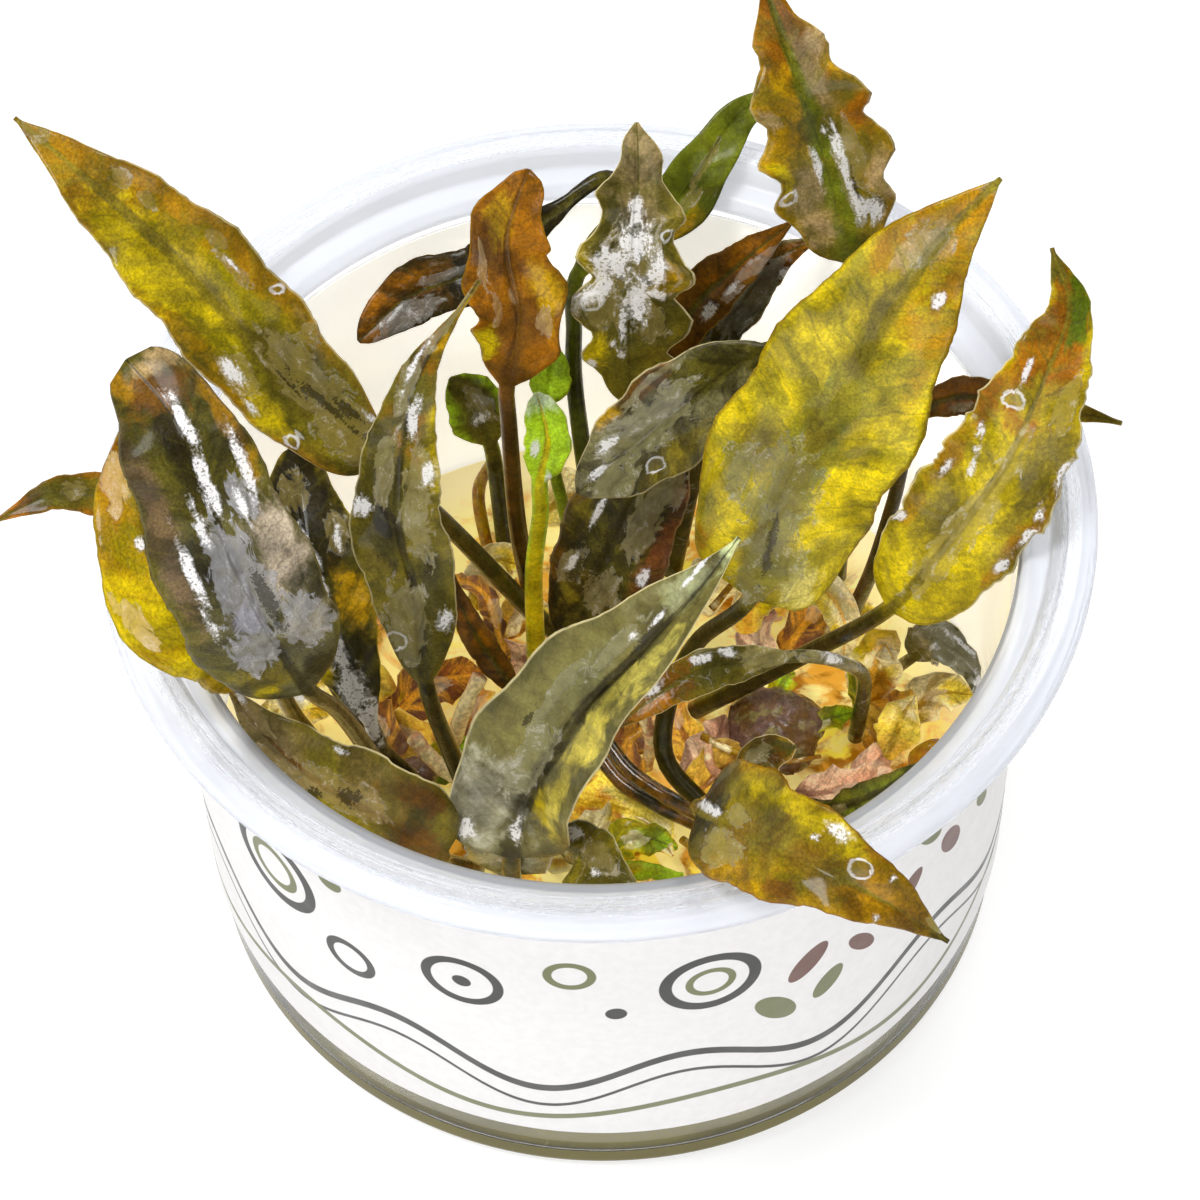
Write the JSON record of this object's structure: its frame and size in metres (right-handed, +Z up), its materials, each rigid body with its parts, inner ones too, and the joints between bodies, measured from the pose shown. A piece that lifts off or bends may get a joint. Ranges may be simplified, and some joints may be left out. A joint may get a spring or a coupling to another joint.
{
  "type": "cryptocoryne wendtii in a culture cup",
  "caption": "Small aquarium plants with long wavy olive, yellow and brown leaves, rooted in gel in a shallow clear round cup with a rim and a plain wrap label.",
  "frame": {"origin": "centre of the flat underside of the cup, on the surface that it stands on", "axes": "+Z up along the cup's axis; -Y is the front, where the low leaf bends out over the rim; +X is the right seen from the front"},
  "size_m": [0.1122, 0.1052, 0.0933],
  "materials": {
    "cup": "clear, glossy, thin wall",
    "gel": "cloudy gel, wet",
    "label": "satin coated",
    "crown": "rough, damp",
    "leaf_olive": "wet leaf, olive with brown margins",
    "leaf_yellow": "wet leaf, yellow to olive with orange margins",
    "leaf_grey": "wet leaf, grey-green with a satin sheen",
    "leaf_orange": "wet leaf, orange-brown",
    "leaf_dark": "wet leaf, dark brown",
    "leaf_green": "wet young leaf, fresh green",
    "leaf_brown": "wet leaf, brown",
    "old_leaf": "limp died-back leaf, pale yellow",
    "root": "smooth root, salmon"
  },
  "bodies": {
    "root": {"cup": "cup", "gel": "gel", "label": "label", "crown_left": "crown", "crown_front": "crown", "crown_centre": "crown", "crown_back": "crown", "crown_right": "crown", "crown_far_right": "crown", "leaf_left_long": "leaf_olive", "leaf_left_low": "leaf_yellow", "leaf_left_broad": "leaf_grey", "leaf_left_small": "leaf_olive", "leaf_left_glossy": "leaf_grey", "leaf_left_upright": "leaf_grey", "leaf_orange": "leaf_orange", "leaf_green_small": "leaf_green", "leaf_green_young": "leaf_green", "leaf_lobed": "leaf_grey", "leaf_green_arching": "leaf_green", "leaf_grey_middle": "leaf_grey", "leaf_dark_middle": "leaf_dark", "leaf_narrow_wilting": "leaf_olive", "leaf_back_tall": "leaf_olive", "leaf_back_dark": "leaf_dark", "leaf_back_brown": "leaf_brown", "leaf_back_grey": "leaf_grey", "leaf_back_left_low": "leaf_olive", "leaf_yellow_broad": "leaf_yellow", "leaf_right_ruffled": "leaf_yellow", "leaf_right_curled": "leaf_brown", "leaf_wilted_right": "leaf_dark", "leaf_front_folded": "leaf_grey", "leaf_front_pale": "leaf_grey", "leaf_front_left": "leaf_olive", "leaf_front_low": "leaf_olive", "leaf_front_right": "leaf_yellow", "leaf_front_right_dark": "leaf_green", "leaf_small_curled": "leaf_olive", "leaf_brown_narrow": "leaf_brown", "old_leaf_curl": "old_leaf", "old_leaf_round": "old_leaf", "old_leaf_torn": "old_leaf", "old_leaf_left": "old_leaf", "old_leaf_front": "old_leaf", "old_leaf_front_green": "leaf_green", "stalk_front_one": "leaf_brown", "stalk_front_two": "leaf_brown", "root_left": "root", "root_front": "root", "root_left_front": "root", "root_right": "root", "root_hook": "leaf_orange", "root_back": "leaf_orange"}
  },
  "joints": []
}
